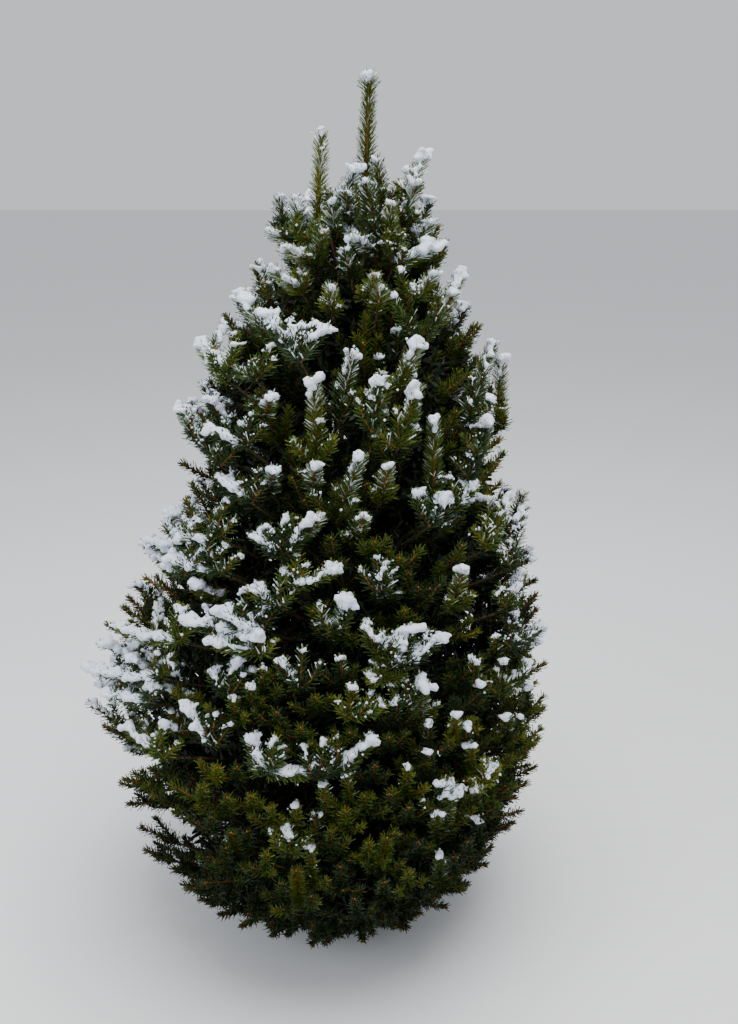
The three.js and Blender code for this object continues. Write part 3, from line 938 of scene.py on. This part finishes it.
class Finish:
    """A material under construction."""

    def __init__(self, name, **constants):
        self.material = bpy.data.materials.new(name)
        self.material.use_nodes = True
        self.tree = self.material.node_tree
        self.shader = self.tree.nodes["Principled BSDF"]
        for socket, value in constants.items():
            self.set(socket.replace("_", " ").title().replace("Ior", "IOR"), value)

    def set(self, socket, value):
        """Gives one of the shader's sockets a constant or a link."""
        self._join(self.shader.inputs[socket], value)

    def _join(self, socket, value):
        if isinstance(value, bpy.types.NodeSocket):
            self.tree.links.new(value, socket)
        elif hasattr(socket.default_value, "__len__") and len(socket.default_value) == 4:
            socket.default_value = (*value[:3], 1.0)
        else:
            socket.default_value = value

    def node(self, kind, settings, sockets, output=0):
        """Adds a node: its settings first, then the values or links of its sockets."""
        made = self.tree.nodes.new("ShaderNode" + kind)
        for name, value in settings.items():
            if name == "stops":
                for element, (position, colour) in zip(made.color_ramp.elements, value):
                    element.position = position
                    element.color = (*colour, 1.0)
            else:
                setattr(made, name, value)
        for socket, value in sockets.items():
            self._join(made.inputs[socket], value)
        return made.outputs[output]

    def noise(self, scale, detail, stretch=(1, 1, 1), **sockets):
        """Noise over the object's coordinates, stretched."""
        coordinates = self.node("TexCoord", {}, {}, "Object")
        place = self.node("Mapping", {}, {"Vector": coordinates, "Scale": stretch})
        return self.node("TexNoise", {}, {"Vector": place, "Scale": scale, "Detail": detail, **sockets})

    def blend(self, share, first, second):
        """Two colours mixed by a share."""
        return self.node("Mix", {"data_type": "RGBA"}, {0: share, 6: first, 7: second}, 2)

    def changed(self, base, value, share):
        """A base value to which a share of another is added."""
        added = self.node("Math", {"operation": "MULTIPLY"}, {0: value, 1: share})
        return self.node("Math", {"operation": "ADD"}, {0: added, 1: base})

    def bump(self, height, strength, distance):
        normal = self.node("Bump", {}, {"Height": height, "Strength": strength, "Distance": distance})
        self.set("Normal", normal)


def bark_finish(name, light, dark, scale):
    finish = Finish(name, specular_ior_level=0.25)
    scales = finish.noise(scale, 5.0, (1, 1, 0.35), Roughness=0.65)
    cracks = finish.node("ValToRGB", {"stops": ((0.38, (0, 0, 0)), (0.62, (1, 1, 1)))}, {"Fac": scales})
    finish.set("Base Color", finish.blend(cracks, dark, light))
    finish.set("Roughness", finish.changed(0.95, scales, -0.2))
    finish.bump(scales, 0.6, 0.0012)
    return finish.material


def twig_finish(name, colour, scale):
    finish = Finish(name, specular_ior_level=0.3)
    streaks = finish.noise(scale, 3.0)
    darker, lighter = ([min(1.0, share * part) for part in colour] for share in (0.55, 1.3))
    finish.set("Base Color", finish.blend(streaks, darker, lighter))
    finish.set("Roughness", 0.7)
    return finish.material


def needle_finish(name, colour, roughness, coat):
    finish = Finish(
        name, roughness=roughness, specular_ior_level=0.18, coat_weight=coat, coat_roughness=0.5)
    finish.set("Base Color", tuple(colour))
    return finish.material


def snow_finish(name, colour):
    finish = Finish(name, specular_ior_level=0.35)
    grain = finish.noise(300.0, 4.0, Roughness=0.7)
    drift = finish.noise(30.0, 2.0)
    shaded = [0.86 * colour[0], 0.9 * colour[1], 0.97 * colour[2]]
    finish.set("Base Color", finish.blend(drift, shaded, tuple(colour)))
    finish.set("Roughness", finish.changed(0.5, grain, 0.35))
    finish.bump(grain, 1.0, 0.003)
    return finish.material


def trunk_point(x, y, share, relief):
    """Where a point of the unit limb lies on the trunk, with its scales of bark."""
    height = WOOD_TOP * share
    azimuth = math.atan2(y, x)
    radius = float(trunk_radius(height))
    swell = 1 + LOBE_DEPTH * math.cos(FLARE_LOBES * azimuth) * math.exp(-height / FLARE_HEIGHT)
    surface = radius * swell
    spot = Vector((surface * x * 0.09, surface * y * 0.09, height * 0.035))
    scales = noise.noise(spot) + 0.5 * noise.noise(spot * 2.3)
    depth = relief * scales * min(1, radius / 8)
    out = (surface + depth) * math.hypot(x, y)
    return axis_x(height) + out * math.cos(azimuth), out * math.sin(azimuth), height


class SPRUCE_OT_trunk(bpy.types.Operator):
    """Trunk, boughs and their stems, with the relief of the bark"""

    bl_idname = "spruce.trunk"
    bl_label = "Trunk and boughs"

    def execute(self, context):
        sizes, colours = context.scene.spruce_sizes, context.scene.spruce_colours
        bark = bark_finish("bark", colours.bark, colours.bark_cracks, 130.0)
        bough_bark = bark_finish("bough_bark", colours.old_twig, colours.bark_cracks, 220.0)
        points, faces = limb_shape(30, 170)
        placed = np.array([trunk_point(*point, sizes.bark_relief / MM) for point in points])
        place_piece("trunk_bark", mesh_of("trunk_bark", placed, faces), [bark], ["trunk"])

        starts, halfway, ends = (
            np.array([space.stem_point(share) for space in SPACES]) for share in BOUGH_SHARES)
        ends[:, 2] = np.minimum(ends[:, 2], WHORL_TOP - 20)
        halfway[:, 2] = np.minimum(halfway[:, 2], mix(starts[:, 2], ends[:, 2], 0.6))
        knees = 2 * halfway - 0.5 * (starts + ends)
        thick = BOUGH_RADIUS * np.array(
            [1 - BOUGH_THINNING * space.tier / (TOP_TIER + 1) for space in SPACES])
        thin = np.full(len(SPACES), STEM_TIP_RADIUS)
        placed, faces = bent_limbs(limb_shape(9, 14), starts, knees, ends, thick, thin)
        shaken = [noise.noise(Vector(point) * 0.11) for point in placed]
        placed += rows_unit(placed - placed.mean(axis=0)) * (0.5 * np.array(shaken))[:, None]
        boughs = sorted(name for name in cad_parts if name.startswith("bough_"))
        place_piece("bough_bark", mesh_of("bough_bark", placed, faces), [bough_bark], boughs)
        return {"FINISHED"}


class SPRUCE_OT_twigs(bpy.types.Operator):
    """Older side branches, and young twigs with orange-brown bark"""

    bl_idname = "spruce.twigs"
    bl_label = "Twigs"

    def execute(self, context):
        colours = context.scene.spruce_colours
        growth = crown()
        old_bark = twig_finish("old_twig_bark", colours.old_twig, 160.0)
        young_bark = twig_finish("young_twig_bark", colours.twig, 260.0)
        sorts = (
            ("side_branches", OLD, limb_shape(3, 3), old_bark),
            ("young_twigs", YOUNG, limb_shape(4, 2), young_bark),
        )
        bends = (growth.starts, growth.knees, growth.ends, growth.thick, growth.thin)
        for name, kind, shape, finish in sorts:
            placed, faces = bent_limbs(shape, *(values[growth.kind == kind] for values in bends))
            place_piece(name, mesh_of(name, placed, faces), [finish])
        return {"FINISHED"}


def leave_bark(growth, rows, shares, turns, angles):
    """Where needles or buds leave their twigs: foot, heading and a direction across."""
    starts, knees, ends = growth.starts[rows], growth.knees[rows], growth.ends[rows]
    centres = points_on(starts, knees, ends, shares)
    along = rows_unit((1 - shares)[:, None] * (knees - starts) + shares[:, None] * (ends - knees))
    level, lift = across_rows(along)
    out = level * np.cos(turns)[:, None] + lift * np.sin(turns)[:, None]
    radii = mix(growth.thick[rows], growth.thin[rows], shares)
    heading = along * np.cos(angles)[:, None] + out * np.sin(angles)[:, None]
    return centres + out * (0.7 * radii)[:, None], heading, out


class Needles:
    """All needles as arrays: the twig that bears each, its foot, its frame and its green."""

    def __init__(self, growth, sizes):
        self.growth = growth
        self.rng = np.random.default_rng(SEED + 1)
        self.place(sizes.needle_spacing)
        self.shape(sizes.needle_length / MM, sizes.needle_width / MM)
        self.colour()

    def draw(self):
        """A random number for each needle."""
        return self.rng.random(len(self.rows))

    def place(self, spacing):
        """Spreads the needles along their twigs, with a tuft at each tip that has a bud."""
        growth = self.growth
        counts = np.round(growth.lengths * (1 - growth.bare) * growth.dense * MM / spacing).astype(int)
        totals = counts + np.where(growth.bud > 0, TUFT, 0)
        rows = self.rows = np.repeat(np.arange(len(counts)), totals)
        self.order = np.arange(len(rows)) - (np.cumsum(totals) - totals)[rows]
        self.in_tuft = self.order >= counts[rows]
        even = (self.order + self.draw()) / np.maximum(counts[rows], 1)
        spread = growth.bare[rows] + (1 - growth.bare[rows]) * even
        self.shares = np.where(self.in_tuft, 0.975 + 0.02 * self.draw(), np.minimum(spread, 0.985))
        self.old = growth.kind[rows] == OLD
        self.inner = growth.green[rows] == SHADE
        self.bold = (growth.thick[rows] > BOLD_RADIUS) & ~self.old
        self.body = (self.order % 2 == 0) & ~self.in_tuft & ~self.inner & ~self.bold

    def shape(self, length, width):
        """Turns each needle away from its twig and gives it its size, less where it leaves the box."""
        count, shares = len(self.rows), self.shares
        turns = self.order * GOLDEN_ANGLE + self.rng.normal(0, 0.22, count)
        angles = mix(*NEEDLE_ANGLES, np.clip(shares, 0, 1) ** 2) + self.rng.normal(0, 0.09, count)
        angles = np.where(self.bold, angles - BOLD_LEAN, angles)
        angles = np.where(self.in_tuft, mix(*TUFT_ANGLES, self.draw()), angles)
        feet, heading, out = leave_bark(self.growth, self.rows, shares, turns, angles)
        heading = rows_unit(heading + UP * (0.34 * np.maximum(0, -out[:, 2]) + 0.06)[:, None])
        lengths = length * mix(*NEEDLE_LENGTHS, self.draw())
        lengths *= np.where(self.in_tuft, 0.72, mix(1.0, 0.8, shares**3))
        widths = np.full(count, width)
        sorts = (
            (self.body, BODY_SIZE), (self.inner, INNER_SIZE),
            (self.old & ~self.inner, OLD_SIZE), (self.bold, BOLD_SIZE))
        for pick, (longer, wider) in sorts:
            lengths[pick] *= longer
            widths[pick] *= wider
        ends = feet + heading * lengths[:, None]
        beyond = (np.maximum(BOX_LOW - ends, ends - BOX_HIGH) - NEEDLES_BEYOND).max(axis=1)
        lengths = np.maximum(lengths - 1.3 * np.maximum(beyond, 0), 0.3 * lengths)
        across = rows_unit(np.cross(heading, out + 0.3 * self.rng.normal(size=out.shape)))
        third = np.cross(heading, across)
        self.frames = np.stack(
            [across * widths[:, None], third * widths[:, None], heading * lengths[:, None]], axis=1)
        self.feet = feet
        self.upper = out[:, 2] > 0.05

    def colour(self):
        """Paints light and shade into each spray's greens: a green darker for body needles and near a
        shoot's foot as painted shade, a green lighter for some outer needles near its tip as painted
        light; and whitens the needles that bear rime.
        """
        shares, body, bold = self.shares, self.body, self.bold
        greens = self.growth.green[self.rows]
        lighter = self.draw()
        step = (greens >= DARK) & (greens < BRIGHT)
        # Body needles, inside the brush of a shoot, a green darker: painted shade
        greens = np.where(body & (greens > DARK) & (greens <= BRIGHT), greens - 1, greens)
        # Some outer needles past a shoot's middle a green lighter: painted light at the tips
        greens = np.where(step & ~body & (shares > 0.5) & (lighter < 0.45), greens + 1, greens)
        # Needles nearer a shoot's foot a green darker: painted shade at its base
        painted_shade_base = step & ~bold & (greens > DARK) & (shares < 0.65)
        greens = np.where(painted_shade_base & (lighter > 0.25), greens - 1, greens)
        likely = np.where(bold, 0.14 + 0.4 * shares, 0.24) * self.growth.snow[self.rows]
        rimed = (self.upper | bold) & ~self.inner & (self.draw() < likely)
        self.greens = np.where(rimed, np.where(self.draw() < 0.3, SNOWED, FROSTED), greens)

    def copies(self, pick):
        """Points, faces and greens of the needles picked."""
        shape = needle_shape()
        placed, faces = repeat(shape, self.feet[pick], self.frames[pick])
        return placed, faces, np.repeat(self.greens[pick], len(shape[1]))


class SPRUCE_OT_needles(bpy.types.Operator):
    """Needles of every tier, joined, each spray in its own green"""

    bl_idname = "spruce.needles"
    bl_label = "Needles"

    def execute(self, context):
        sizes, colours = context.scene.spruce_sizes, context.scene.spruce_colours
        materials = [
            needle_finish(f"needles_{green}", getattr(colours, green),
                          0.85 if green in ("frosted", "snowed") else 0.5,
                          0.0 if green in ("shade", "frosted", "snowed") else 0.04)
            for green in GREENS]
        growth = crown()
        needles = Needles(growth, sizes)
        for tier, (name, *_) in enumerate(TIERS):
            placed, faces, kinds = needles.copies((growth.tier[needles.rows] == tier) & ~needles.inner)
            stem = "leader_needles" if name == "leader" else f"foliage_{name}_"
            nodes = sorted(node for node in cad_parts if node.startswith(stem))
            mesh = mesh_of(f"needles_{name}", placed, faces, kinds, smooth=False)
            place_piece(f"needles_{name}", mesh, materials, nodes)
        # The needles inside the crown, all in the near-black painted shade green, in a piece of their own
        placed, faces, _ = needles.copies(needles.inner)
        mesh = mesh_of("needles_inside", placed, faces, smooth=False)
        place_piece("needles_inside", mesh, materials[SHADE:SHADE + 1])
        return {"FINISHED"}


class SPRUCE_OT_buds(bpy.types.Operator):
    """A bud at the end of each young shoot, with two smaller ones beside it on strong shoots"""

    bl_idname = "spruce.buds"
    bl_label = "Buds"

    def execute(self, context):
        sizes, colours = context.scene.spruce_sizes, context.scene.spruce_colours
        growth = crown()
        rng = np.random.default_rng(SEED + 2)
        ended = np.flatnonzero(growth.bud > 0)
        beside = np.repeat(np.flatnonzero(growth.bud > 1.1), 2)
        rows = np.concatenate([ended, beside])
        main = np.arange(len(rows)) < len(ended)
        shares = np.where(main, 1.0, 0.99)
        turns = np.arange(len(rows)) * math.pi + rng.normal(0, 0.4, len(rows))
        angles = np.where(main, 0.0, 0.75)
        feet, heading, out = leave_bark(growth, rows, shares, turns, angles)
        feet = np.where(main[:, None], growth.ends[rows], feet)
        size = sizes.bud_length / MM * growth.bud[rows] ** 0.6 * np.where(main, 1.0, 0.72)
        across = rows_unit(np.cross(heading, out))
        third = np.cross(heading, across)
        width = (0.62 * size)[:, None]
        frames = np.stack([across * width, third * width, heading * size[:, None]], axis=1)
        placed, faces = repeat(bud_shape(), feet, frames)
        finish = twig_finish("bud_scales", colours.bud, 500.0)
        place_piece("buds", mesh_of("buds", placed, faces), [finish])
        return {"FINISHED"}


def snow_lumps(growth, rng, depth):
    """Middles and radii of the lumps of snow that lie along laden shoots and cap their tips."""
    middles, radii = [], []
    for row in np.flatnonzero(growth.snow > LADEN_FROM):
        start, knee, end = growth.starts[row], growth.knees[row], growth.ends[row]
        amount, length, bud = growth.snow[row], growth.lengths[row], growth.bud[row]
        along = unit(end - start)
        steep = abs(along[2])
        size = depth * min(max(length / 75, 0.7), 1.15) * mix(0.7, 1.0, amount) * max(1.0, bud**0.25)
        level = unit(np.cross(along, UP)) if steep < 0.98 else np.array([1.0, 0, 0])
        above = unit(np.cross(level, along))
        upright = max(0, (steep - 0.5) / 0.5)
        laden = max(0, amount - 0.6) / 0.4
        cover = mix(0.05, 0.95, amount) * mix(1.0, mix(0.5, 0.95, laden), upright)
        if growth.kind[row] == OLD:
            cover *= 0.6
        count = max(2, int(length * cover / LUMP_STEP))
        shares = 1 - cover * (np.arange(count) + rng.random(count)) / count
        spots = points_on(start, knee, end, shares)
        fat = size * mix(0.55, 0.82, amount) * mix(0.4, 1.15, rng.random(count)) * mix(1.0, 0.8, upright)
        fat *= np.clip((shares - (1 - cover)) / 0.3 + 0.5, 0.5, 1)
        spots = spots + above * mix(0.4 * fat + 3, 7.5, upright)[:, None]
        spots = spots + level * rng.normal(0, 0.55 * size, count)[:, None]
        spots = spots + UP * rng.normal(0, 1.8, count)[:, None]
        middles.append(spots)
        radii.append(fat)
        if bud > 0:
            bulk = 1.2 if bud > 1.3 else 1.0
            caps = 6 + int(4 * amount * bulk)
            spread = rng.normal(0, 0.52 * size * bulk, (caps, 3)) * np.array([1, 1, 0.55])
            middles.append(end + spread + along * 2 + above * 2 * upright + UP * 0.3 * size)
            radii.append(size * mix(0.38, 0.78, rng.random(caps)) * mix(0.8, 1.1, amount))
    middles, radii = np.concatenate(middles), np.concatenate(radii)
    spare = (radii - SNOW_BEYOND)[:, None]
    middles[:, :2] = np.clip(middles[:, :2], BOX_LOW[:2] + spare, BOX_HIGH[:2] - spare)
    return middles, radii


def merged_snow(name, middles, radii, grain):
    """Lumps merged into one closed skin, then roughened a little."""
    frames = np.zeros((len(middles), 3, 3))
    for axis, squash in enumerate((1.0, 1.0, 0.82)):
        frames[:, axis, axis] = radii * squash
    placed, faces = repeat(lump_shape(2), middles, frames)
    raw = bpy.data.objects.new(name + "_raw", mesh_of(name + "_raw", placed, faces))
    bpy.context.scene.collection.objects.link(raw)
    skin = raw.modifiers.new("skin", "REMESH")
    skin.mode = "VOXEL"
    skin.voxel_size = grain
    soft = raw.modifiers.new("soft", "SMOOTH")
    soft.factor = 0.5
    soft.iterations = 1
    mesh = bpy.data.meshes.new_from_object(raw.evaluated_get(bpy.context.evaluated_depsgraph_get()))
    bpy.data.objects.remove(raw)
    bm = bmesh.new()
    bm.from_mesh(mesh)
    bpy.data.meshes.remove(mesh)
    bmesh.ops.triangulate(bm, faces=bm.faces[:])
    for vert in bm.verts:
        spot = vert.co
        rough = noise.noise(spot * 75) + noise.noise(spot * 150) + 0.6 * noise.noise(spot * 320)
        vert.co += vert.normal * (0.0019 * rough)
    for face in bm.faces:
        face.smooth = True
    done = bpy.data.meshes.new(name)
    bm.to_mesh(done)
    bm.free()
    return done


class SPRUCE_OT_snow(bpy.types.Operator):
    """Snow that lies along the shoots and caps their tips, and loose grains on the needles"""

    bl_idname = "spruce.snow"
    bl_label = "Snow"

    def execute(self, context):
        sizes, colours = context.scene.spruce_sizes, context.scene.spruce_colours
        finish = snow_finish("snow", colours.snow)
        growth = crown()
        rng = np.random.default_rng(SEED + 3)
        middles, radii = snow_lumps(growth, rng, sizes.snow_depth / MM)
        low = middles[:, 2] < SNOW_PARTING
        for name, pick in (("snow_low", low), ("snow_high", ~low)):
            mesh = merged_snow(name, middles[pick], radii[pick], sizes.snow_grain)
            place_piece(name, mesh, [finish])

        laden = np.flatnonzero((growth.snow > LADEN_FROM) & (growth.kind == YOUNG))
        counts = (growth.lengths[laden] * 0.05 * growth.snow[laden]).astype(int) + 1
        rows = np.repeat(laden, counts)
        shares = mix(0.35, 1.0, rng.random(len(rows)))
        turns = rng.normal(math.pi / 2, 0.8, len(rows))
        feet, heading, _ = leave_bark(growth, rows, shares, turns, np.full(len(rows), 1.1))
        spots = feet + heading * mix(8, 16, rng.random(len(rows)))[:, None]
        around = rows_unit(rng.normal(size=(GRAINS_ON_LUMPS, 3)) + 0.5 * UP)
        lumps = rng.integers(len(middles), size=GRAINS_ON_LUMPS)
        far = radii[lumps] * mix(0.9, 1.12, rng.random(GRAINS_ON_LUMPS))
        spots = np.concatenate([spots, middles[lumps] + around * far[:, None]])
        size = mix(*GRAIN_RADII, rng.random(len(spots)) ** 2)
        turn = rows_unit(rng.normal(size=(len(spots), 3)))
        second, third = across_rows(turn)
        frames = np.stack([turn, second, third], axis=1) * size[:, None, None]
        placed, faces = repeat(grain_shape(), spots, frames)
        place_piece("snow_grains", mesh_of("snow_grains", placed, faces), [finish])
        return {"FINISHED"}


class SPRUCE_OT_stage(bpy.types.Operator):
    """Plain pale floor, soft studio light and the camera"""

    bl_idname = "spruce.stage"
    bl_label = "Stage"

    def execute(self, context):
        colours = context.scene.spruce_colours
        clear_piece("floor")
        bm = bmesh.new()
        bmesh.ops.create_grid(bm, x_segments=1, y_segments=1, size=FLOOR_HALF)
        mesh = bpy.data.meshes.new("floor")
        bm.to_mesh(mesh)
        bm.free()
        floor = bpy.data.objects.new("floor", mesh)
        context.scene.collection.objects.link(floor)
        paint = Finish("floor_paint", roughness=0.9, specular_ior_level=0.1)
        paint.set("Base Color", tuple(colours.floor))
        mesh.materials.append(paint.material)
        floor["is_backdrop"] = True

        world = bpy.data.worlds.new("studio")
        world.use_nodes = True
        sky = world.node_tree.nodes["Background"]
        sky.inputs["Color"].default_value = SKY_COLOUR
        sky.inputs["Strength"].default_value = SKY_STRENGTH
        context.scene.world = world

        for name, place, size, power, colour in LIGHTS:
            clear_piece(name)
            lamp = bpy.data.lights.new(name, "AREA")
            lamp.shape = "DISK"
            lamp.size = size
            lamp.energy = power
            lamp.color = colour
            light = bpy.data.objects.new(name, lamp)
            light.location = place
            target = Vector((0, 0, LIT_HEIGHT)) - Vector(place)
            light.rotation_euler = target.to_track_quat("-Z", "Y").to_euler()
            context.scene.collection.objects.link(light)

        clear_piece("camera")
        lens = bpy.data.cameras.new("camera")
        lens.sensor_width = SENSOR_WIDTH
        lens.lens = SENSOR_WIDTH * FOCAL_PIXELS / max(PICTURE)
        camera = bpy.data.objects.new("camera", lens)
        camera.location = Vector(CAMERA_PLACE) * MM
        camera.rotation_euler = (math.radians(90 - CAMERA_TILT), 0, 0)
        context.scene.collection.objects.link(camera)
        context.scene.camera = camera
        return {"FINISHED"}


class SPRUCE_PT_panel(bpy.types.Panel):
    bl_idname = "SPRUCE_PT_panel"
    bl_label = "Snowy spruce"
    bl_space_type = "VIEW_3D"
    bl_region_type = "UI"
    bl_category = "Spruce"

    def draw(self, context):
        for group in (context.scene.spruce_sizes, context.scene.spruce_colours):
            box = self.layout.box()
            for name in group.__annotations__:
                box.prop(group, name)
        for operator in OPERATORS:
            self.layout.operator(operator.bl_idname)


OPERATORS = (
    SPRUCE_OT_trunk, SPRUCE_OT_twigs, SPRUCE_OT_needles, SPRUCE_OT_buds, SPRUCE_OT_snow, SPRUCE_OT_stage)
CLASSES = (SpruceSizes, SpruceColours, *OPERATORS, SPRUCE_PT_panel)


def register():
    for cls in CLASSES:
        bpy.utils.register_class(cls)
    bpy.types.Scene.spruce_sizes = bpy.props.PointerProperty(type=SpruceSizes)
    bpy.types.Scene.spruce_colours = bpy.props.PointerProperty(type=SpruceColours)


def unregister():
    del bpy.types.Scene.spruce_colours
    del bpy.types.Scene.spruce_sizes
    for cls in reversed(CLASSES):
        bpy.utils.unregister_class(cls)


def main():
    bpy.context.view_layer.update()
    register()
    bpy.ops.spruce.trunk()
    bpy.ops.spruce.twigs()
    bpy.ops.spruce.needles()
    bpy.ops.spruce.buds()
    bpy.ops.spruce.snow()
    bpy.ops.spruce.stage()
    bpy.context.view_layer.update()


if __name__ == "__main__":
    main()
